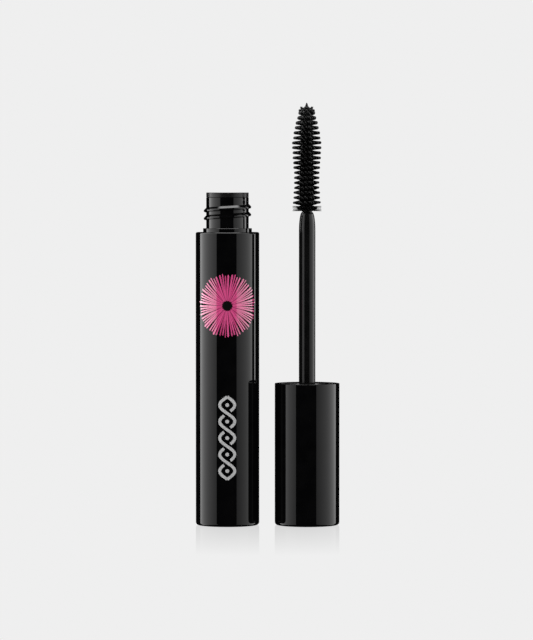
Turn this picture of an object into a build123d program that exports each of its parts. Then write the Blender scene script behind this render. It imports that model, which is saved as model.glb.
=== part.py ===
from build123d import *
import os
from math import cos, pi

# Mascara tube, millimetres, +Z up. The origin is on the bottle's axis, on the surface it stands on.
# The bottle stands open. The applicator stands beside it on its closed end, with the wand upwards.
# Applicator pieces are built closed on the bottle, then turned over and set down by stand().

# --- driving dimensions ---------------------------------------------------------------------
BOTTLE_R = 8.75  # outer radius of the bottle's shell
BODY_H = 80.8  # base to shoulder
NECK_TOP = 91.7  # base to the top of the neck, wiper flange included
NECK_R = 5.86
CAP_R = 8.92
CAP_H = 39.1
AXIS_GAP = 21.96  # from the bottle's axis to the standing applicator's axis
RIM_GAP = 0.2  # between the closed cap's rim and the shoulder
SLIP = 0.05  # radial clearance of fitted pieces

SHELL_WALL = 1.0
SHELL_FLOOR = 1.2
SHELL_EDGE = 0.8  # radius round the bottle's base and the cap's closed end
SHOULDER_EDGE = 0.45
RIM_EDGE = 0.08  # radius of the cap's rim, outside and inside
RECESS_EDGE = 0.12
RECESS_GAP = 0.3  # radial, round the label
LABEL_R = 6.4
LABEL_T = 0.1
LABEL_RECESS = 0.3

VIAL_R = 7.4
VIAL_WALL = 1.0
VIAL_FLOOR = 0.9
VIAL_FLANGE_H = 2.4
COLLAR_R = 6.72
COLLAR_H = 1.05
NECK_BORE_R = 4.5
FLOOR_BEVEL = 1.5  # inside the vial; the outside has half as much
CRISP = 0.06  # small bevels on moulded edges

WIPER_FLANGE_H = 1.4
WIPER_DEPTH = 13.0  # below the flange
WIPER_WALL = 0.7
ORIFICE_R = 2.18
LIP_H = 0.8
LIP_WALL = 0.55
WIPER_CONE_H = 6.0
WIPER_LEAD = 0.35  # bevel at the wiper's mouth

THREAD_PITCH = 2.117  # twelve threads to the inch
THREAD_R = 6.53
THREAD_Z = 85.05  # lower crest on the front of the neck
THREAD_START = 80.0  # degrees round from +X; both ends of the ridge are at the back
THREAD_TURNS = 2.06
RIDGE_FOOT = 0.46  # the ridge's outline, down and up from the crest's middle
RIDGE_CREST = 0.14
RIDGE_TOP = 0.85
RIDGE_SINK = 0.2  # how deep the ridge is rooted
FADE_DEPTH = 0.08  # how far inside the neck the ridge has sunk at the back

PASTE_TOP = 62.0
PASTE_CORE_R = 4.7  # channel that the wand leaves
PASTE_SLUMP = 2.0  # depth of the rounding at the channel's mouth

ROD_R = 2.27
ROD_FLANGE_R = 4.3
ROD_HEAD_R = 2.9
ROD_HEAD_H = 8.0
ROD_TOP = 86.3  # heights on the standing applicator, from the surface
ROD_DOME = 81.2
ROD_TIP_R = 1.42
ROD_FLANGE_T = 0.7
ROD_HEAD_BEVEL = 0.5

WASHER_R = 5.9
WASHER_T = 1.0
INNER_CAP_DEPTH = 23.0  # from the cap's rim to the far end of the liner
INNER_CAP_RECESS = 0.4  # of the liner's mouth below the cap's rim
SKIRT_R = 6.95  # plain bore that clears the neck's collar
SKIRT_DEPTH = 4.2
LINER_ROOT_R = 6.72  # bore between the liner's thread ridges
LINER_CREST_R = 6.05
LINER_LEAD = 0.3  # bevels at the liner's mouth; its far edge has twice as much
LINER_START = 200.0
LINER_TURNS = 1.0
LINER_LAG = 0.45  # pitches from the neck's ridge up to the liner's, when closed

BRUSH_TIP = 116.4
BRUSH_CORE_R = 1.45
CROWN_R = 1.65
CROWN_H = 1.65
SPIKE_R = 0.4
BRUSH_STEM_R = 0.9
BRUSH_STEM_H = 9.0
ROWS = 20
ROW_PITCH = 1.371
ROW_ROOT = 0.6  # half the height of a row at the core, and at its tips
ROW_TIP = 0.24
TOP_ROW = 113.6
TIP_R = 2.27  # row radii: at the top row, belly, waist and base
BELLY_R = 4.10
WAIST_R = 3.53
BASE_R = 3.96
BELLY_Z = 104.05
WAIST_Z = 95.3
BASE_Z = 86.8

CLOSED_TOP = BODY_H + RIM_GAP + CAP_H
RIM_Z = BODY_H + RIM_GAP
LIP_Z = NECK_TOP - WIPER_FLANGE_H
CEILING_Z = NECK_TOP + WASHER_T
ON_BASE = (Align.CENTER, Align.CENTER, Align.MIN)


def turned(points):
    """A solid of revolution from an outline of (radius, height) points."""
    outline = make_face(Polyline([(r, 0, z) for r, z in points], close=True))
    return revolve(outline, Axis.Z)


def ring(outer, inner, low, high):
    """A plain tube; an inner radius of zero makes a disc."""
    tube = Pos(0, 0, low) * Cylinder(outer, high - low, align=ON_BASE)
    if inner:
        tube = tube - Pos(0, 0, low) * Cylinder(inner, high - low, align=ON_BASE)
    return tube


def circles_at(part, height, radius):
    """The part's circular edges of one radius at one height."""
    found = part.edges().filter_by(GeomType.CIRCLE)
    return [e for e in found if abs(e.arc_center.Z - height) < 0.01 and abs(e.radius - radius) < 0.01]


def round_edge(part, height, radius, size):
    return fillet(circles_at(part, height, radius), size)


def stand(piece):
    """Turns a closed-position piece over and sets it beside the bottle."""
    return Pos(AXIS_GAP, 0, CLOSED_TOP) * Rot(0, 180, 0) * piece


# --- screw thread ---------------------------------------------------------------------------
def helix_ridge(outline, start, turns, crest_z):
    """An outline of (radius, height) points carried up a helix from one bearing, in degrees."""
    section = make_face(Polyline([(r, 0, z) for r, z in outline], close=True))
    path = Helix(THREAD_PITCH, turns * THREAD_PITCH, NECK_R)
    coil = sweep(section, path=path, is_frenet=True)
    return Pos(0, 0, crest_z) * Rot(0, 0, start) * coil


def crest_height(bearing):
    """Height of the neck's lowest crest at a bearing; THREAD_Z is at the front, 270 degrees."""
    return THREAD_Z + THREAD_PITCH * (bearing - 270) / 360


def fade_cylinder(low, high):
    """A round that touches the crest at the sides and passes just inside the neck at the back."""
    near = NECK_R - FADE_DEPTH
    far = THREAD_R**2 / near
    return Pos(0, (near - far) / 2, 0) * ring((near + far) / 2, 0, low, high)


def neck_thread():
    """A buttress ridge, steep below and gentle above, that sinks into the neck at both ends."""
    soft = 0.12 * (THREAD_R - NECK_R)
    outline = [
        (NECK_R - RIDGE_SINK, -RIDGE_FOOT),
        (NECK_R, -RIDGE_FOOT),
        (THREAD_R - soft, -2 * RIDGE_CREST),
        (THREAD_R, -RIDGE_CREST),
        (THREAD_R, RIDGE_CREST),
        (THREAD_R - soft, 2 * RIDGE_CREST),
        (NECK_R, RIDGE_TOP),
        (NECK_R - RIDGE_SINK, RIDGE_TOP),
    ]
    coil = helix_ridge(outline, THREAD_START, THREAD_TURNS, crest_height(THREAD_START))
    middle = (RIDGE_TOP - RIDGE_FOOT) / 2
    low_fade = THREAD_Z + middle
    high_fade = THREAD_Z + THREAD_PITCH + middle
    limits = fade_cylinder(BODY_H, low_fade)
    limits += ring(THREAD_R + 1, 0, low_fade, high_fade)
    limits += fade_cylinder(high_fade, NECK_TOP)
    return coil & limits


# --- bottle ---------------------------------------------------------------------------------
def outer_sleeve():
    bore_r = BOTTLE_R - SHELL_WALL
    shell = ring(BOTTLE_R, 0, 0, BODY_H) - ring(bore_r, 0, SHELL_FLOOR, BODY_H)
    shell = round_edge(shell, 0, BOTTLE_R, SHELL_EDGE)
    shell = round_edge(shell, BODY_H, BOTTLE_R, SHOULDER_EDGE)
    recess_r = LABEL_R + RECESS_GAP
    shell = shell - ring(recess_r, 0, 0, LABEL_RECESS)
    return round_edge(shell, 0, recess_r, RECESS_EDGE)


def base_label():
    return ring(LABEL_R, 0, LABEL_RECESS - LABEL_T, LABEL_RECESS)


def inner_vial():
    """Vial, sleeve-filling flange, collar and neck in one moulding."""
    inside_r = VIAL_R - VIAL_WALL
    flange_r = BOTTLE_R - SHELL_WALL - SLIP
    floor_z = SHELL_FLOOR + VIAL_FLOOR
    flange_z = BODY_H - VIAL_FLANGE_H
    neck_z = BODY_H + COLLAR_H
    outline = [
        (0, SHELL_FLOOR),
        (VIAL_R - FLOOR_BEVEL / 2, SHELL_FLOOR),
        (VIAL_R, SHELL_FLOOR + FLOOR_BEVEL / 2),
        (VIAL_R, flange_z),
        (flange_r, flange_z),
        (flange_r, BODY_H),
        (COLLAR_R, BODY_H),
        (COLLAR_R, neck_z - CRISP),
        (COLLAR_R - CRISP, neck_z),
        (NECK_R, neck_z),
        (NECK_R, LIP_Z),
        (NECK_BORE_R, LIP_Z),
        (NECK_BORE_R, flange_z),
        (inside_r, flange_z - 2 * FLOOR_BEVEL),
        (inside_r, floor_z + FLOOR_BEVEL),
        (inside_r - FLOOR_BEVEL, floor_z),
        (0, floor_z),
    ]
    return turned(outline) + neck_thread()


def wiper():
    """Flange on the lip, tube down the neck, funnel to a thin wiping lip."""
    tube_r = NECK_BORE_R - SLIP / 2
    bore_r = tube_r - WIPER_WALL
    flange_r = NECK_R - SLIP / 2
    low = LIP_Z - WIPER_DEPTH
    cone_z = low + WIPER_CONE_H
    outline = [
        (bore_r + WIPER_LEAD, NECK_TOP),
        (flange_r - CRISP, NECK_TOP),
        (flange_r, NECK_TOP - CRISP),
        (flange_r, LIP_Z + 2 * CRISP),
        (flange_r - 2 * CRISP, LIP_Z),
        (tube_r, LIP_Z),
        (tube_r, cone_z),
        (ORIFICE_R + LIP_WALL, low),
        (ORIFICE_R, low),
        (ORIFICE_R, low + LIP_H),
        (bore_r, cone_z),
        (bore_r, NECK_TOP - WIPER_LEAD),
    ]
    return turned(outline)


def mascara_paste():
    """The formula, with the channel that the wand leaves when it is drawn out."""
    out_r = VIAL_R - VIAL_WALL - SLIP / 2
    floor_z = SHELL_FLOOR + VIAL_FLOOR + SLIP / 2
    outline = [
        (0, floor_z),
        (out_r - FLOOR_BEVEL, floor_z),
        (out_r, floor_z + FLOOR_BEVEL),
        (out_r, PASTE_TOP),
        (PASTE_CORE_R + 0.3 * PASTE_SLUMP, PASTE_TOP - 0.3 * PASTE_SLUMP),
        (PASTE_CORE_R, PASTE_TOP - PASTE_SLUMP),
        (PASTE_CORE_R, floor_z + 2 * PASTE_SLUMP),
        (PASTE_CORE_R / 2, floor_z + 0.4 * PASTE_SLUMP),
        (0, floor_z + 0.3 * PASTE_SLUMP),
    ]
    return turned(outline)


# --- applicator, built closed on the bottle ---------------------------------------------------
def outer_cap():
    bore_r = CAP_R - SHELL_WALL
    shell = ring(CAP_R, 0, RIM_Z, CLOSED_TOP) - ring(bore_r, 0, RIM_Z, CLOSED_TOP - SHELL_FLOOR)
    shell = round_edge(shell, CLOSED_TOP, CAP_R, SHELL_EDGE)
    shell = round_edge(shell, RIM_Z, CAP_R, RIM_EDGE)
    return round_edge(shell, RIM_Z, bore_r, RIM_EDGE)


def inner_cap():
    """Threaded liner pressed into the cap, with a blind socket for the rod's head."""
    out_r = CAP_R - SHELL_WALL - SLIP
    mouth_z = RIM_Z + INNER_CAP_RECESS
    skirt_z = RIM_Z + SKIRT_DEPTH
    end_z = RIM_Z + INNER_CAP_DEPTH
    socket_r = ROD_HEAD_R + SLIP
    socket_z = CEILING_Z + ROD_HEAD_H + SLIP
    outline = [
        (SKIRT_R + LINER_LEAD, mouth_z),
        (out_r, mouth_z),
        (out_r, end_z - 2 * LINER_LEAD),
        (out_r - 2 * LINER_LEAD, end_z),
        (0, end_z),
        (0, socket_z),
        (socket_r, socket_z),
        (socket_r, CEILING_Z),
        (LINER_ROOT_R, CEILING_Z),
        (LINER_ROOT_R, skirt_z + SKIRT_R - LINER_ROOT_R),
        (SKIRT_R, skirt_z),
        (SKIRT_R, mouth_z + LINER_LEAD),
    ]
    return turned(outline) + liner_thread()


def liner_thread():
    """The liner's ridge, which lies between the neck's ridges when the cap is closed."""
    soft = 0.1 * (LINER_ROOT_R - LINER_CREST_R)
    outline = [
        (LINER_ROOT_R + RIDGE_SINK, -0.72),
        (LINER_ROOT_R, -0.72),
        (LINER_CREST_R + soft, -0.22),
        (LINER_CREST_R, -0.1),
        (LINER_CREST_R, 0.04),
        (LINER_CREST_R + soft, 0.16),
        (LINER_ROOT_R, 0.36),
        (LINER_ROOT_R + RIDGE_SINK, 0.36),
    ]
    crest_z = crest_height(LINER_START) + LINER_LAG * THREAD_PITCH
    return helix_ridge(outline, LINER_START, LINER_TURNS, crest_z)


def sealing_washer():
    """Soft ring between the liner's ceiling and the neck's lip, loose round the rod's flange."""
    return ring(WASHER_R, ROD_FLANGE_R + SLIP, NECK_TOP + SLIP, CEILING_Z - SLIP)


def wand_rod():
    """Head in the liner's socket, flange on its ceiling, straight shaft and domed end."""
    flange_z = CEILING_Z - ROD_FLANGE_T
    head_z = CEILING_Z + ROD_HEAD_H
    dome_z = CLOSED_TOP - ROD_DOME
    tip_z = CLOSED_TOP - ROD_TOP
    shaft = turned([
        (0, dome_z),
        (ROD_R, dome_z),
        (ROD_R, flange_z),
        (ROD_FLANGE_R, flange_z),
        (ROD_FLANGE_R, CEILING_Z),
        (ROD_HEAD_R, CEILING_Z),
        (ROD_HEAD_R, head_z - ROD_HEAD_BEVEL),
        (ROD_HEAD_R - ROD_HEAD_BEVEL, head_z),
        (0, head_z),
    ])
    dome_h = dome_z - tip_z
    bulge = EllipticalCenterArc((ROD_TIP_R, 0), ROD_R - ROD_TIP_R, dome_h, start_angle=0, arc_size=-90)
    tip = (0, -dome_h)
    outline = Wire([bulge, Line(bulge @ 1, tip), Line(tip, (0, 0)), Line((0, 0), (ROD_R, 0))])
    dome = revolve(Plane.XZ * make_face(outline), Axis.Z)
    socket = ring(BRUSH_STEM_R + SLIP / 2, 0, tip_z, tip_z + BRUSH_STEM_H)
    return shaft + Pos(0, 0, dome_z) * dome - socket


def row_radius(height):
    """Radius of the bristle tips at a height on the standing applicator."""
    if height > BELLY_Z:
        rise = (height - BELLY_Z) / (TOP_ROW - BELLY_Z)
        return BELLY_R - (BELLY_R - TIP_R) * rise**1.6
    if height > WAIST_Z:
        part = (BELLY_Z - height) / (BELLY_Z - WAIST_Z)
        return BELLY_R - (BELLY_R - WAIST_R) * (1 - cos(pi * part)) / 2
    part = (WAIST_Z - height) / (WAIST_Z - BASE_Z)
    return WAIST_R - (WAIST_R - BASE_R) * (1 - cos(pi * part)) / 2


def brush():
    """One moulding: stem, core, a tapered disc for each row of bristles, a crown and a spike."""
    stem_z = ROD_TOP - BRUSH_STEM_H + SLIP
    foot_z = ROD_TOP + SLIP / 2
    outline = [(0, stem_z), (BRUSH_STEM_R, stem_z), (BRUSH_STEM_R, foot_z), (ROD_TIP_R, foot_z)]
    for i in reversed(range(ROWS)):
        z = TOP_ROW - i * ROW_PITCH
        r = row_radius(z)
        outline += [(BRUSH_CORE_R, z - ROW_ROOT), (r, z - ROW_TIP), (r, z + ROW_TIP)]
        if i:
            outline += [(BRUSH_CORE_R, z + ROW_ROOT)]
    outline += [
        (TIP_R - 0.1, TOP_ROW + CROWN_H / 2),
        (CROWN_R, TOP_ROW + CROWN_H),
        (CROWN_R - 0.3, TOP_ROW + 0.85 * CROWN_H),
        (SPIKE_R, TOP_ROW + 0.85 * CROWN_H),
        (SPIKE_R / 4, BRUSH_TIP - SPIKE_R / 4),
        (0, BRUSH_TIP),
    ]
    return turned(outline)


# --- write one file for each piece ------------------------------------------------------------
def write(name, piece):
    export_step(piece, f"parts/{name}.step")


def main():
    os.makedirs("parts", exist_ok=True)
    write("outer_sleeve", outer_sleeve())
    write("base_label", base_label())
    write("inner_vial", inner_vial())
    write("wiper", wiper())
    write("mascara_paste", mascara_paste())
    write("outer_cap", stand(outer_cap()))
    write("inner_cap", stand(inner_cap()))
    write("sealing_washer", stand(sealing_washer()))
    write("wand_rod", stand(wand_rod()))
    write("brush", Pos(AXIS_GAP, 0, 0) * brush())


main()
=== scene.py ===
from math import cos, pi, radians, sin, sqrt, tan

import bmesh
import bpy
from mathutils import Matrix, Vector


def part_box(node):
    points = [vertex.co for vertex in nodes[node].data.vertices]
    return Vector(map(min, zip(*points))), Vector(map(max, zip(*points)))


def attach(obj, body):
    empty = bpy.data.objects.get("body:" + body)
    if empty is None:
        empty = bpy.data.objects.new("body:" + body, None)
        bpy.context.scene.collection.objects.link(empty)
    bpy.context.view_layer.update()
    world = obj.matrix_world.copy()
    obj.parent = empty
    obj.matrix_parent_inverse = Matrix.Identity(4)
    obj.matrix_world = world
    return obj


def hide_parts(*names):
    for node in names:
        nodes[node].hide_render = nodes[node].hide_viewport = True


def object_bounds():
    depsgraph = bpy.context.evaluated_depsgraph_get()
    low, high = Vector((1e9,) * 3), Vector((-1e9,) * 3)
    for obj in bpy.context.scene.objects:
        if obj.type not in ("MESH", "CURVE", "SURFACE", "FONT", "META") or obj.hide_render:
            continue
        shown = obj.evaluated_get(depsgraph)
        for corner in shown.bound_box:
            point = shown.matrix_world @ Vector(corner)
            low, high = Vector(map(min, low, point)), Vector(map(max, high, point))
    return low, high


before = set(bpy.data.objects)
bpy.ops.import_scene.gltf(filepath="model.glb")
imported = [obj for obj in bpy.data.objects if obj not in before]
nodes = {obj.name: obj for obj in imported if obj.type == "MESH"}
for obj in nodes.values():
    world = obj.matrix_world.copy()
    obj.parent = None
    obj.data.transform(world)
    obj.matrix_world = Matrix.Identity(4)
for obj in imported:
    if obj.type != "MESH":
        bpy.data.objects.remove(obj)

cad_low, cad_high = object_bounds()
MM = 0.001

# --- places read from the frame ----------------------------------------------------------------
sleeve_low, sleeve_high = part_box("outer_sleeve")
cap_low, cap_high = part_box("outer_cap")
BRUSH_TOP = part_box("brush")[1].z
ROD_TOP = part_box("wand_rod")[1].z
SHELL_R = (sleeve_high.x - sleeve_low.x) / 2
BOTTLE_X = (sleeve_high.x + sleeve_low.x) / 2
WAND_X = (cap_high.x + cap_low.x) / 2
MID_X = (cad_low.x + cad_high.x) / 2

WHITE = 0.863  # scene-linear brightness of the paper-white studio
INK_IOR = 2.5  # a pearly ink, with a stronger shine than the plastic under it


# --- node helpers ------------------------------------------------------------------------------
def new_material(name):
    mat = bpy.data.materials.new(name)
    mat.use_nodes = True
    return mat, mat.node_tree, mat.node_tree.nodes["Principled BSDF"]


def node(tree, kind, **values):
    """A new node; each value is a property of the node, or a socket with _ for a space."""
    made = tree.nodes.new(kind)
    for key, value in values.items():
        if hasattr(made, key):
            setattr(made, key, value)
        else:
            made.inputs[key.replace("_", " ")].default_value = value
    return made


def link(tree, out, into):
    tree.links.new(out, into)


def calc(tree, operation, *values):
    """The result of a Math node; each value is a number or another node's output."""
    made = node(tree, "ShaderNodeMath", operation=operation)
    for socket, value in zip(made.inputs, values):
        if isinstance(value, (int, float)):
            socket.default_value = value
        else:
            link(tree, value, socket)
    return made.outputs["Value"]


def map_range(tree, value, from_low, from_high, to_low, to_high, **more):
    made = node(tree, "ShaderNodeMapRange", From_Min=from_low, From_Max=from_high, **more)
    made.inputs["To Min"].default_value = to_low
    made.inputs["To Max"].default_value = to_high
    link(tree, value, made.inputs["Value"])
    return made.outputs["Result"]


def object_coords(tree):
    return node(tree, "ShaderNodeTexCoord").outputs["Object"]


def split(tree, vector):
    made = node(tree, "ShaderNodeSeparateXYZ")
    link(tree, vector, made.inputs["Vector"])
    return made.outputs


def length(tree, vector):
    made = node(tree, "ShaderNodeVectorMath", operation="LENGTH")
    link(tree, vector, made.inputs[0])
    return made.outputs["Value"]


def noise(tree, scale, detail=3.0, stretch=None):
    """Noise in the object's own coordinates, in metres, with an optional stretch."""
    made = node(tree, "ShaderNodeTexNoise", Scale=scale, Detail=detail)
    source = object_coords(tree)
    if stretch:
        mapping = node(tree, "ShaderNodeMapping", Scale=stretch)
        link(tree, source, mapping.inputs["Vector"])
        source = mapping.outputs["Vector"]
    link(tree, source, made.inputs["Vector"])
    return made.outputs["Fac"]


def spread(tree, value, low, high):
    """Maps a 0.3 to 0.7 noise to low and high."""
    return map_range(tree, value, 0.3, 0.7, low, high)


def bump(tree, shader, height, distance):
    made = node(tree, "ShaderNodeBump", Distance=distance)
    link(tree, height, made.inputs["Height"])
    link(tree, made.outputs["Normal"], shader.inputs["Normal"])


def two_tone(tree, value, first, second, low=0.35, high=0.65):
    """A blend from one colour to another as the value goes from low to high."""
    made = node(tree, "ShaderNodeValToRGB")
    for stop, place, colour in zip(made.color_ramp.elements, (low, high), (first, second)):
        stop.position = place
        stop.color = (*colour, 1)
    link(tree, value, made.inputs["Fac"])
    return made.outputs["Color"]


# --- materials ---------------------------------------------------------------------------------
UPRIGHT = 0.3  # stretch of marks that run up the piece
GRAIN_SCALE = 9000.0


def plastic(name, dark, light, rough, ripple, grain=0.0, ior=1.5):
    """A moulded plastic: two close tones, uneven gloss, faint sink ripple and fine grain."""
    mat, tree, shader = new_material(name)
    shader.inputs["IOR"].default_value = ior
    cloud = noise(tree, 260.0, 4.0)
    link(tree, two_tone(tree, cloud, dark, light), shader.inputs["Base Color"])
    smear = noise(tree, 420.0, 5.0, (1.0, 1.0, 0.25))
    link(tree, spread(tree, smear, *rough), shader.inputs["Roughness"])
    waves = noise(tree, 90.0, 2.0, (1.0, 1.0, UPRIGHT))
    fine = noise(tree, GRAIN_SCALE, 2.0)
    bump(tree, shader, calc(tree, "MULTIPLY_ADD", fine, grain, waves), ripple)
    return mat


def grey(value):
    return (value, value, value)


def shell_material():
    dark, light = (0.0016, 0.0016, 0.0018), (0.0026, 0.0026, 0.0028)
    return plastic("gloss_shell", dark, light, rough=(0.028, 0.045), ripple=0.000004)


def vial_material():
    dark, light = (0.0016, 0.0016, 0.0018), (0.0028, 0.0028, 0.003)
    return plastic("vial_plastic", dark, light, rough=(0.03, 0.05), ripple=0.0000015)


def wiper_material():
    return plastic("wiper_plastic", grey(0.004), grey(0.006), rough=(0.26, 0.34), ripple=0.00002, grain=0.03)


def liner_material():
    return plastic("liner_plastic", grey(0.004), grey(0.007), rough=(0.2, 0.3), ripple=0.00002, grain=0.02)


def rod_material():
    return plastic("rod_plastic", grey(0.003), grey(0.005), rough=(0.08, 0.13), ripple=0.00001, grain=0.008)


def brush_material():
    """A soft elastomer, which is less shiny than the hard plastics."""
    dark, light = grey(0.0015), grey(0.003)
    return plastic("brush_elastomer", dark, light, rough=(0.24, 0.36), ripple=0.00001, grain=0.03, ior=1.36)


def washer_material():
    """Closed-cell foam: grey, dull and pitted, with painted shade that darkens the bottom of each pit."""
    mat, tree, shader = new_material("washer_foam")
    cells = node(tree, "ShaderNodeTexVoronoi", Scale=5200.0)
    link(tree, object_coords(tree), cells.inputs["Vector"])
    depth = cells.outputs["Distance"]
    # painted shade: the grey is darkest where the pits are deepest
    tone = two_tone(tree, depth, (0.18, 0.18, 0.19), (0.34, 0.34, 0.35), 0.1, 0.6)
    link(tree, tone, shader.inputs["Base Color"])
    shader.inputs["Roughness"].default_value = 0.85
    bump(tree, shader, depth, 0.00005)
    return mat


def paste_material():
    """Wet, thick formula with wiped ridges."""
    mat, tree, shader = new_material("mascara_formula")
    drag = noise(tree, 500.0, 4.0, (1.0, 1.0, UPRIGHT))
    tone = two_tone(tree, drag, grey(0.002), (0.006, 0.005, 0.006))
    link(tree, tone, shader.inputs["Base Color"])
    link(tree, spread(tree, drag, 0.12, 0.35), shader.inputs["Roughness"])
    bump(tree, shader, drag, 0.0003)
    return mat


def label_material():
    """Coated black label stock with a fine paper tooth."""
    mat, tree, shader = new_material("label_stock")
    tooth = noise(tree, 6000.0, 4.0)
    tone = two_tone(tree, tooth, (0.012, 0.012, 0.013), (0.02, 0.02, 0.021))
    link(tree, tone, shader.inputs["Base Color"])
    link(tree, spread(tree, tooth, 0.4, 0.55), shader.inputs["Roughness"])
    bump(tree, shader, tooth, 0.00001)
    return mat


def band_material():
    """Light grey ink that varies slightly in tone and gloss."""
    mat, tree, shader = new_material("grey_ink")
    cloud = noise(tree, 900.0, 4.0)
    link(tree, two_tone(tree, cloud, grey(0.53), grey(0.6)), shader.inputs["Base Color"])
    link(tree, spread(tree, cloud, 0.1, 0.16), shader.inputs["Roughness"])
    shader.inputs["IOR"].default_value = INK_IOR
    return mat


def petal_material():
    """Pink ink whose tone changes with the bearing round the flower's heart."""
    mat, tree, shader = new_material("petal_ink")
    place = split(tree, object_coords(tree))
    across = calc(tree, "DIVIDE", calc(tree, "SUBTRACT", place["X"], BOTTLE_X), SHELL_R)
    girth = calc(tree, "MULTIPLY", calc(tree, "ARCSINE", across), SHELL_R)
    height = calc(tree, "SUBTRACT", place["Z"], FLOWER_Z)
    bearing = calc(tree, "ARCTAN2", height, girth)
    streak = node(tree, "ShaderNodeTexNoise", noise_dimensions="1D", Scale=14.0, Detail=4.0)
    link(tree, bearing, streak.inputs["W"])
    shade = streak.outputs["Fac"]
    tone = two_tone(tree, shade, (0.43, 0.029, 0.125), (0.90, 0.10, 0.33), 0.38, 0.56)
    link(tree, tone, shader.inputs["Base Color"])
    link(tree, spread(tree, shade, 0.08, 0.14), shader.inputs["Roughness"])
    shader.inputs["IOR"].default_value = INK_IOR
    return mat


def ground_material():
    """The dull black that the petals are printed on."""
    return plastic("ground_ink", grey(0.002), grey(0.003), rough=(0.4, 0.5), ripple=0.000002, ior=1.2)


def dress_cad():
    """Gives each kept CAD node a material; the sleeve and the cap share the shell's."""
    shell = shell_material()
    made = {
        "outer_sleeve": shell,
        "outer_cap": shell,
        "inner_vial": vial_material(),
        "wiper": wiper_material(),
        "inner_cap": liner_material(),
        "wand_rod": rod_material(),
        "sealing_washer": washer_material(),
        "mascara_paste": paste_material(),
        "base_label": label_material(),
    }
    for name, mat in made.items():
        mesh = nodes[name].data
        mesh.materials.clear()
        mesh.materials.append(mat)


# --- mesh helpers ------------------------------------------------------------------------------
CREASE = radians(50)  # edges sharper than this shade as sharp


def mesh_object(name, build, material):
    mesh = bpy.data.meshes.new(name)
    bm = bmesh.new()
    build(bm)
    bmesh.ops.recalc_face_normals(bm, faces=bm.faces)
    for edge in bm.edges:
        edge.smooth = edge.calc_face_angle(0.0) < CREASE
    bm.to_mesh(mesh)
    bm.free()
    mesh.materials.append(material)
    for face in mesh.polygons:
        face.use_smooth = True
    made = bpy.data.objects.new(name, mesh)
    bpy.context.scene.collection.objects.link(made)
    return made


def grid_faces(bm, rows, closed):
    """Quads between rows of vertices of equal length; closed joins each row's ends."""
    for a, b in zip(rows, rows[1:]):
        n = len(a)
        for i in range(n if closed else n - 1):
            j = (i + 1) % n
            bm.faces.new((a[i], a[j], b[j], b[i]))


def jitter(i, k):
    """A repeatable number from -1 to 1 for each pair of numbers."""
    return 2 * ((i * 0.7548 + k * 0.5698) % 1.0) - 1


def ramp(value, first, last):
    """0 up to first, 1 from last, and even between them."""
    return min(1.0, max(0.0, (value - first) / (last - first)))


# --- brush; its rows are numbered down from the top ---------------------------------------------
ROWS = 20
COLUMNS = 9
FIRST_COLUMN = radians(17)  # from the front towards the right
SLANT = radians(45)  # of each bristle's oval section, down to the right seen from its tip
ROW_PITCH = 1.371 * MM
TOP_ROW = BRUSH_TOP - 2.8 * MM
BOTTOM_ROW = TOP_ROW - (ROWS - 1) * ROW_PITCH
CORE_R = 1.5 * MM
CORE_RIB = 0.14 * MM  # height of the core's rib under each row
STEM_R = 0.88 * MM
STEM_DEPTH = 8.5 * MM  # in the rod
LEAN = 0.14 * MM  # of the soft brush to the left
TIP_R = 2.36 * MM  # bristle tips: at the top row, belly, waist and base
BELLY_R = 4.10 * MM
WAIST_R = 3.53 * MM
BASE_R = 3.96 * MM
BELLY_Z = BRUSH_TOP - 12.35 * MM
WAIST_Z = BRUSH_TOP - 21.1 * MM
BASE_Z = BRUSH_TOP - 29.6 * MM
FINE_COUNT = 30  # bristles in each tier of the bottom row
FINE_TIERS = (0.3, -0.05, -0.4, -0.75)  # their heights about the row, in mm


def row_radius(height):
    """Distance of the bristle tips from the axis at a height."""
    if height > BELLY_Z:
        rise = (height - BELLY_Z) / (TOP_ROW - BELLY_Z)
        return BELLY_R - (BELLY_R - TIP_R) * rise**1.6
    if height > WAIST_Z:
        part = (BELLY_Z - height) / (BELLY_Z - WAIST_Z)
        return BELLY_R - (BELLY_R - WAIST_R) * (1 - cos(pi * part)) / 2
    part = (WAIST_Z - height) / (WAIST_Z - BASE_Z)
    return WAIST_R - (WAIST_R - BASE_R) * (1 - cos(pi * part)) / 2


def around(turn):
    """The outward direction at a turn from the front towards the right."""
    return Vector((sin(turn), -cos(turn), 0))


def on_axis(height):
    return Vector((WAND_X, 0, height))


def spike(bm, foot, tip, root, end, slant=SLANT, sides=10):
    """A tapered bristle from foot to tip with a rounded end; root and end are (long, short) ovals."""
    axis = (tip - foot).normalized()
    reach = (tip - foot).length
    level = axis.cross(Vector((0, 0, 1)))
    level.normalize()
    up = level.cross(axis)
    wide = level * cos(slant) + up * sin(slant)
    thin = up * cos(slant) - level * sin(slant)
    cap = min(0.4, end[1] * 0.6 / reach)
    # (share of the length, share of the root's extra width, share of the width that the cap leaves)
    places = [(0.0, 1.0, 1.0), (0.25, 0.6, 1.0), (0.55, 0.25, 1.0), (1 - cap, 0.0, 1.0)]
    places += [(1 - 0.45 * cap, 0.0, 0.84), (1 - 0.1 * cap, 0.0, 0.42)]
    rings = []
    for t, flare, shrink in places:
        centre = foot + axis * (reach * t)
        w = (end[0] + (root[0] - end[0]) * flare) * shrink / 2
        h = (end[1] + (root[1] - end[1]) * flare) * shrink / 2
        angles = [2 * pi * i / sides for i in range(sides)]
        rings.append([bm.verts.new(centre + wide * (cos(a) * w) + thin * (sin(a) * h)) for a in angles])
    grid_faces(bm, rings, True)
    bm.faces.new(reversed(rings[0]))
    point = bm.verts.new(tip)
    for i in range(sides):
        bm.faces.new((rings[-1][i], rings[-1][(i + 1) % sides], point))


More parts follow.
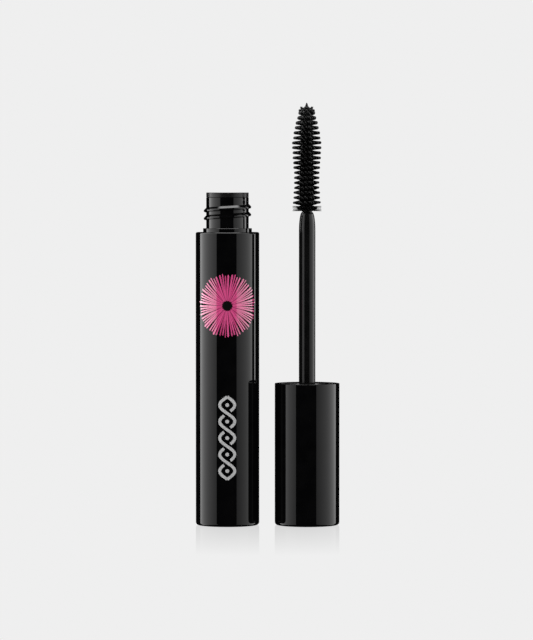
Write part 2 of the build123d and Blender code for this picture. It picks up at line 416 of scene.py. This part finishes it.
def lathe(bm, points, sides):
    """A turned solid about the wand's axis from (radius, height) points, closed by flat ends."""
    rings = []
    for r, z in points:
        angles = [2 * pi * i / sides for i in range(sides)]
        rings.append([bm.verts.new((WAND_X + r * cos(a), r * sin(a), z)) for a in angles])
    grid_faces(bm, rings, True)
    bm.faces.new(reversed(rings[0]))
    bm.faces.new(rings[-1])


def core_outline():
    """The core as (radius, height) points, from the stem in the rod up to the end spike."""
    outline = [(STEM_R, ROD_TOP - STEM_DEPTH), (STEM_R, ROD_TOP + 0.02 * MM)]
    outline += [(1.34 * MM, ROD_TOP + 0.03 * MM), (1.75 * MM, ROD_TOP + 1.0 * MM)]
    for i in reversed(range(ROWS - 1)):
        z = TOP_ROW - i * ROW_PITCH
        outline += [(CORE_R, z - 0.62 * MM), (CORE_R + CORE_RIB, z - 0.25 * MM)]
        outline += [(CORE_R + CORE_RIB, z + 0.25 * MM), (CORE_R, z + 0.62 * MM)]
    shoulder = ((1.6, 1.0), (1.45, 1.45), (0.6, 1.52))
    end_spike = ((0.48, 1.62), (0.38, 2.05), (0.25, 2.45))
    outline += [(r * MM, TOP_ROW + z * MM) for r, z in shoulder + end_spike]
    return outline + [(0.15 * MM, BRUSH_TOP - 0.1 * MM), (0.06 * MM, BRUSH_TOP - 0.01 * MM)]


def long_bristle(bm, i, k, z, turn):
    """A bristle of full reach; the lower rows have wider feet, and the top rows thicker tips."""
    lower = ramp(i, 8, 15)
    upper = 1 - ramp(i, 0, 5)
    root = (1.95 + 0.45 * lower) * MM
    thick = (0.77 - 0.17 * lower + 0.3 * upper) * MM
    reach = row_radius(z) * (1 + 0.025 * jitter(k, i))
    foot = on_axis(z) + around(turn) * (CORE_R - 0.25 * MM)
    tip = on_axis(z + 0.07 * MM * jitter(i + 3, k)) + around(turn) * reach
    spike(bm, foot, tip, (root, 0.52 * root), (1.25 * thick, 0.7 * thick))


def short_bristle(bm, i, k, z, turn):
    """A stubbier bristle between two of a row's long ones."""
    share = 0.82 - 0.12 * ramp(i, 0, 12) + 0.06 * jitter(k, i)
    root = (1.6 + 0.6 * ramp(i, 8, 13)) * MM
    reach = CORE_R + (row_radius(z) - CORE_R) * share
    foot = on_axis(z) + around(turn) * (CORE_R - 0.25 * MM)
    tip = on_axis(z + 0.1 * MM * jitter(i, k + 2)) + around(turn) * reach
    spike(bm, foot, tip, (root, 0.6 * root), (0.55 * root, 0.35 * root))


def bottom_row(bm):
    """The last row is denser: fine bristles in tiers, over a ring of thick short ones."""
    z = BOTTOM_ROW
    for tier, lift in enumerate(FINE_TIERS):
        for k in range(FINE_COUNT):
            turn = 2 * pi * (k + tier / len(FINE_TIERS)) / FINE_COUNT
            reach = row_radius(z) * (1 + 0.03 * jitter(tier, k))
            foot = on_axis(z + lift * MM * 0.8) + around(turn) * (CORE_R - 0.1 * MM)
            tip = on_axis(z + lift * MM * 1.2) + around(turn) * reach
            spike(bm, foot, tip, (0.55 * MM, 0.55 * MM), (0.2 * MM, 0.19 * MM), 0.0, 6)
    for k in range(COLUMNS * 2):
        turn = FIRST_COLUMN + pi * k / COLUMNS
        foot = on_axis(z) + around(turn) * (CORE_R - 0.2 * MM)
        tip = on_axis(z + 0.05 * MM * jitter(2, k)) + around(turn) * (row_radius(z) * 0.74)
        spike(bm, foot, tip, (1.7 * MM, 1.4 * MM), (0.6 * MM, 0.5 * MM))


def crown(bm):
    """Bristles that stand up round the tip, in two rings; sizes in mm, heights above the top row."""
    for half, low, foot_r, high, tip_r, root, end in (
        (0.0, 0.45, 1.2, 1.75, 1.72, (0.95, 0.8), (0.32, 0.28)),
        (0.5, 0.3, 1.3, 0.85, 2.32, (1.3, 1.1), (0.8, 0.66)),
    ):
        for k in range(COLUMNS + 1):
            turn = FIRST_COLUMN + 2 * pi * (k + half) / (COLUMNS + 1)
            foot = on_axis(TOP_ROW + low * MM) + around(turn) * foot_r * MM
            tip = on_axis(TOP_ROW + high * MM) + around(turn) * tip_r * MM
            spike(bm, foot, tip, [v * MM for v in root], [v * MM for v in end])


def build_brush(bm):
    lathe(bm, core_outline(), 32)
    for i in range(ROWS - 1):
        z = TOP_ROW - i * ROW_PITCH
        for k in range(COLUMNS):
            turn = FIRST_COLUMN + 2 * pi * k / COLUMNS + 0.06 * jitter(i, k)
            long_bristle(bm, i, k, z, turn)
            if i:
                short_bristle(bm, i, k, z, turn + pi / COLUMNS)
    bottom_row(bm)
    crown(bm)
    for vert in bm.verts:
        vert.co.x -= LEAN * ramp(vert.co.z, ROD_TOP, ROD_TOP + 2 * MM)


def make_brush():
    made = mesh_object("moulded_brush", build_brush, brush_material())
    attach(made, "applicator")
    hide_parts("brush")


# --- prints on the shell -----------------------------------------------------------------------
INK_T = 0.05 * MM
GROUND_T = 0.03 * MM
FILM_FOOT = 0.002 * MM  # from the shell to the underside of a film

FLOWER_Z = 60.72 * MM
OVAL = 0.045  # how much wider than high the flower is
PETALS = 62
PETAL_REACH = 8.5 * MM
GROUND_R = 8.0 * MM
HEART_R = 1.42 * MM
PETAL_W = 0.2 * MM  # half the width of a petal
ROUND_FROM = 0.955  # share of a petal's length where its rounded end starts
ROUND_SPAN = 0.046  # a little more than the rest, so that the end isn't quite a point

ORNAMENT_LOW = 13.2 * MM
ORNAMENT_HIGH = 35.8 * MM
EYES = 5
WAVE = (ORNAMENT_HIGH - ORNAMENT_LOW) / EYES
SWING = 2.08 * MM
BAND_HALF = 0.40 * MM
CROSSING_GAP = 0.62 * MM  # from a crossing to where the lower band stops
DOT_R = 0.52 * MM


def wrap(u, z, lift=INK_T):
    """A point of the flat artwork, u along the shell's girth from the front, laid on the shell."""
    a = u / SHELL_R
    r = SHELL_R + lift
    return Vector((BOTTLE_X + r * sin(a), -r * cos(a), z))


def ink_sheet(bm, rows):
    """A thin closed film over a grid of flat (u, z) points."""
    top = [[bm.verts.new(wrap(u, z)) for u, z in row] for row in rows]
    low = [[bm.verts.new(wrap(u, z, FILM_FOOT)) for u, z in row] for row in rows]
    grid_faces(bm, top, False)
    grid_faces(bm, [list(reversed(r)) for r in low], False)
    rim = [(top[0], low[0]), (list(reversed(top[-1])), list(reversed(low[-1])))]
    rim += [([r[-1] for r in top], [r[-1] for r in low])]
    rim += [([r[0] for r in reversed(top)], [r[0] for r in reversed(low)])]
    for upper, lower in rim:
        for i in range(len(upper) - 1):
            bm.faces.new((upper[i + 1], upper[i], lower[i], lower[i + 1]))


def round_film(bm, height, radius_at, sides, lift=INK_T):
    """A closed round film whose radius may change with the bearing."""
    rings = []
    steps = max(2, round(radius_at(0) / (0.5 * MM)))
    for step in range(1, steps + 1):
        ring = []
        for i in range(sides):
            turn = 2 * pi * i / sides
            r = step / steps * radius_at(turn)
            ring.append((r * cos(turn), height + r * sin(turn)))
        rings.append(ring)
    top = [[bm.verts.new(wrap(u, z, lift)) for u, z in ring] for ring in rings]
    low = [[bm.verts.new(wrap(u, z, FILM_FOOT)) for u, z in ring] for ring in rings]
    grid_faces(bm, top, True)
    grid_faces(bm, list(reversed(low)), True)
    grid_faces(bm, [top[-1], low[-1]], True)
    bm.faces.new(reversed(top[0]))
    bm.faces.new(low[0])


def oval(turn):
    """The flower's outline at a bearing, as a share of its radius straight up."""
    return 1 + OVAL * cos(turn) ** 2


def build_petals(bm):
    """A plain aster: slender straight petals round a bare heart, touching near it and free further out."""
    pitch = 2 * pi / PETALS
    body = [ROUND_FROM * step / 14 for step in range(15)]
    for k in range(PETALS):
        mid = pitch * (k + 0.2 * jitter(k, 1))
        reach = (PETAL_REACH + 0.36 * MM * jitter(k, 2)) * oval(mid)
        start = HEART_R + 0.14 * MM * jitter(k, 3)
        width = PETAL_W + 0.06 * MM * jitter(k, 4)
        rows = []
        for t in body + [0.985, 1]:
            r = start + (reach - start) * t
            taper = sqrt(1 - (max(0.0, t - ROUND_FROM) / ROUND_SPAN) ** 2)
            half = min(pitch * 0.48, width / r) * taper
            rows.append([(r * cos(mid + half * c), FLOWER_Z + r * sin(mid + half * c)) for c in (1, 0, -1)])
        ink_sheet(bm, rows)


def build_ground(bm):
    """A flat black round under the petals, which stays inside their tips."""
    round_film(bm, FLOWER_Z, lambda turn: GROUND_R * oval(turn), 96, GROUND_T)


def band_run(bm, side, v0, v1):
    """One run of a wavy band of even width between two heights; side is 1 or -1, its first swing."""
    steps = max(4, int((v1 - v0) / (0.25 * MM)))
    rows = []
    for s in range(steps + 1):
        v = v0 + (v1 - v0) * s / steps
        u = side * SWING * sin(pi * v / WAVE)
        slope = side * SWING * pi / WAVE * cos(pi * v / WAVE)
        half = BAND_HALF / sqrt(1 + slope * slope)
        rows.append([(u - c * half, ORNAMENT_LOW + v + c * half * slope) for c in (1, 0.33, -0.33, -1)])
    ink_sheet(bm, rows)


def build_plait(bm):
    """A plait of two bands, each passing over the other in turn, with a dot in each eye."""
    for side, first in ((1, 0), (-1, 1)):
        cuts = [0.0]
        for k in range(1, EYES):
            if k % 2 == first:
                cuts += [k * WAVE - CROSSING_GAP, k * WAVE + CROSSING_GAP]
        cuts.append(EYES * WAVE)
        for a, b in zip(cuts[::2], cuts[1::2]):
            band_run(bm, side, a, b)
    for k in range(EYES):
        round_film(bm, ORNAMENT_LOW + (k + 0.5) * WAVE, lambda turn: DOT_R, 28)


def make_print(name, build, material):
    made = mesh_object(name, build, material)
    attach(made, "bottle")


def make_prints():
    make_print("flower_ground", build_ground, ground_material())
    make_print("flower_print", build_petals, petal_material())
    make_print("plait_print", build_plait, band_material())


# --- studio ------------------------------------------------------------------------------------
PANEL_REACH = 0.45  # from the object's middle to each side panel
PANEL_LOW = -0.35
PANEL_HIGH = 0.75
PANEL_FALL = (-0.06, 0.09, 0.66, 1.0)  # two heights, and the share of the light at each
# (degrees off the camera's line, strength) across each side panel, from its front edge to its back
LEFT_STOPS = ((38, 0.75), (60, 1.2), (82, 1.88), (100, 2.9), (117, 4.6))
RIGHT_STOPS = ((32, 0.52), (60, 0.95), (80, 1.4), (96, 2.0), (122, 3.0))
TOP_HALF_X = 0.34
TOP_HALF_Y = 0.30
TOP_HEIGHT = 0.62
TOP_STRENGTH = 5.0
TOP_CORE = 0.55  # share of the top panel that is evenly bright
FILL_HALF_X = 0.7
FILL_HALF_Z = 0.6
FILL_MIDDLE = 0.06
FILL_REACH = 1.0
FILL_STRENGTH = 1.45
FLOOR_R = 2.9
FLOOR_GLOSS = 0.22
GLOSS_FULL = 0.008  # distances from the object's middle where the floor's gloss starts and stops fading
GLOSS_NONE = 0.092
DOME_R = 3.0


def studio_material(name):
    """A material with nothing but an output; its tree and its surface socket come with it."""
    mat = bpy.data.materials.new(name)
    mat.use_nodes = True
    mat.node_tree.nodes.clear()
    out = node(mat.node_tree, "ShaderNodeOutputMaterial")
    return mat, mat.node_tree, out.inputs["Surface"]


def studio_object(name, verts, faces, material):
    mesh = bpy.data.meshes.new(name)
    mesh.from_pydata(verts, [], faces)
    mesh.materials.append(material)
    made = bpy.data.objects.new(name, mesh)
    bpy.context.scene.collection.objects.link(made)
    return made


def side_glow(name, stops):
    """An emitter whose brightness follows stops of (y, strength), and falls off downwards."""
    mat, tree, surface = studio_material(name)
    place = split(tree, object_coords(tree))
    low, high = stops[0][0], stops[-1][0]
    top = max(strength for _, strength in stops)
    curve = node(tree, "ShaderNodeFloatCurve")
    line = curve.mapping.curves[0]
    line.points[0].location = (0, stops[0][1] / top)
    line.points[1].location = (1, stops[-1][1] / top)
    for at, strength in stops[1:-1]:
        line.points.new((at - low) / (high - low), strength / top)
    curve.mapping.update()
    link(tree, map_range(tree, place["Y"], low, high, 0.0, 1.0), curve.inputs["Value"])
    drop = map_range(tree, place["Z"], *PANEL_FALL)
    strength = calc(tree, "MULTIPLY", calc(tree, "MULTIPLY", curve.outputs["Value"], top), drop)
    glow = node(tree, "ShaderNodeEmission")
    link(tree, strength, glow.inputs["Strength"])
    link(tree, glow.outputs["Emission"], surface)
    return mat


def panel_y(degrees):
    """Where a line at an angle off the camera's line, through the object's middle, meets a side panel."""
    return -PANEL_REACH / tan(radians(degrees))


def side_panel(name, side, front_deg, back_deg, stops):
    """An upright softbox beside the object, seen by it from front_deg to back_deg off the camera's line."""
    x = MID_X + side * PANEL_REACH
    y0, y1 = panel_y(front_deg), panel_y(back_deg)
    glow = side_glow(name, [(panel_y(degrees), strength) for degrees, strength in stops])
    verts = [(x, y0, PANEL_LOW), (x, y1, PANEL_LOW), (x, y1, PANEL_HIGH), (x, y0, PANEL_HIGH)]
    studio_object(name, verts, [(0, 1, 2, 3)], glow).visible_camera = False


def top_panel():
    """An overhead softbox that is brightest in the middle and soft at its edges."""
    mat, tree, surface = studio_material("top_softbox")
    shape = node(tree, "ShaderNodeMapping")
    shape.inputs["Scale"].default_value = (1 / TOP_HALF_X, 1 / TOP_HALF_Y, 0)
    shape.inputs["Location"].default_value = (-MID_X / TOP_HALF_X, 0, 0)
    link(tree, object_coords(tree), shape.inputs["Vector"])
    far = length(tree, shape.outputs["Vector"])
    fade = map_range(tree, far, TOP_CORE, 1.0, TOP_STRENGTH, 0.0, interpolation_type="SMOOTHSTEP")
    glow = node(tree, "ShaderNodeEmission")
    link(tree, fade, glow.inputs["Strength"])
    link(tree, glow.outputs["Emission"], surface)
    corners = ((-1, -1), (1, -1), (1, 1), (-1, 1))
    verts = [(MID_X + i * TOP_HALF_X, j * TOP_HALF_Y, TOP_HEIGHT) for i, j in corners]
    studio_object("top_softbox", verts, [(0, 3, 2, 1)], mat).visible_camera = False


def front_fill():
    """A weak front light that lifts the inks; it is kept out of the gloss, which mirrors a dark studio."""
    mat, tree, surface = studio_material("front_fill")
    glow = node(tree, "ShaderNodeEmission", Strength=FILL_STRENGTH)
    link(tree, glow.outputs["Emission"], surface)
    corners = ((-1, -1), (1, -1), (1, 1), (-1, 1))
    verts = [(MID_X + i * FILL_HALF_X, -FILL_REACH, FILL_MIDDLE + j * FILL_HALF_Z) for i, j in corners]
    made = studio_object("front_fill", verts, [(0, 3, 2, 1)], mat)
    made.visible_camera = False
    made.visible_glossy = False
    made.visible_transmission = False


def make_lights():
    side_panel("left_softbox", -1, 40, 115.3, LEFT_STOPS)
    side_panel("right_softbox", 1, 33, 122, RIGHT_STOPS)
    top_panel()
    front_fill()


def make_floor():
    """A paper-white sheet with a faint gloss that dies away from the object."""
    mat, tree, surface = studio_material("studio_floor")
    paper = node(tree, "ShaderNodeEmission", Strength=WHITE)
    gloss = node(tree, "ShaderNodeBsdfGlossy", Roughness=0.06)
    gloss.inputs["Color"].default_value = (1, 1, 1, 1)
    shift = node(tree, "ShaderNodeVectorMath", operation="SUBTRACT")
    shift.inputs[1].default_value = (MID_X, 0, 0)
    link(tree, object_coords(tree), shift.inputs[0])
    far = length(tree, shift.outputs["Vector"])
    fade = map_range(tree, far, GLOSS_FULL, GLOSS_NONE, FLOOR_GLOSS, 0.0)
    mix = node(tree, "ShaderNodeMixShader")
    link(tree, fade, mix.inputs["Fac"])
    link(tree, paper.outputs["Emission"], mix.inputs[1])
    link(tree, gloss.outputs["BSDF"], mix.inputs[2])
    link(tree, mix.outputs["Shader"], surface)
    sides = 64
    angles = [2 * pi * i / sides for i in range(sides)]
    verts = [(FLOOR_R * cos(a), FLOOR_R * sin(a), 0) for a in angles]
    made = studio_object("floor", verts, [tuple(range(sides))], mat)
    made.visible_glossy = False
    made.visible_diffuse = False
    made.visible_shadow = False
    return made


def make_backdrop(floor):
    """A white dome round the studio, which lights and is mirrored by the floor alone."""
    mat, tree, surface = studio_material("backdrop")
    glow = node(tree, "ShaderNodeEmission", Strength=WHITE)
    link(tree, glow.outputs["Emission"], surface)
    mesh = bpy.data.meshes.new("backdrop")
    bm = bmesh.new()
    bmesh.ops.create_uvsphere(bm, u_segments=48, v_segments=24, radius=DOME_R)
    bm.to_mesh(mesh)
    bm.free()
    mesh.materials.append(mat)
    dome = bpy.data.objects.new("backdrop", mesh)
    bpy.context.scene.collection.objects.link(dome)
    dome.visible_diffuse = False
    dome.visible_shadow = False
    lit = bpy.data.collections.new("lit_by_backdrop")
    lit.objects.link(floor)
    dome.light_linking.receiver_collection = lit


def make_world():
    world = bpy.data.worlds.new("studio")
    world.use_nodes = True
    world.node_tree.nodes["Background"].inputs["Color"].default_value = (0, 0, 0, 1)
    bpy.context.scene.world = world
    bpy.context.scene.view_settings.view_transform = "Standard"


# --- camera ------------------------------------------------------------------------------------
EYE_H = 92.6 * MM
DISTANCE = 1080.0 * MM
AIM_Z = 56.56 * MM
EYE_SHIFT = -0.31 * MM  # of the camera from the object's middle
LENS = 220.4


def make_camera():
    data = bpy.data.cameras.new("camera")
    data.lens = LENS
    data.sensor_width = 36.0
    data.clip_start = 0.01
    data.clip_end = 20.0
    camera = bpy.data.objects.new("camera", data)
    camera.location = (MID_X + EYE_SHIFT, -DISTANCE, EYE_H)
    aim = Vector((camera.location.x, 0, AIM_Z)) - camera.location
    camera.rotation_mode = "QUATERNION"
    camera.rotation_quaternion = aim.to_track_quat("-Z", "Y")
    bpy.context.scene.collection.objects.link(camera)
    bpy.context.scene.camera = camera


make_camera()
make_world()
make_lights()
make_backdrop(make_floor())
dress_cad()
make_brush()
make_prints()
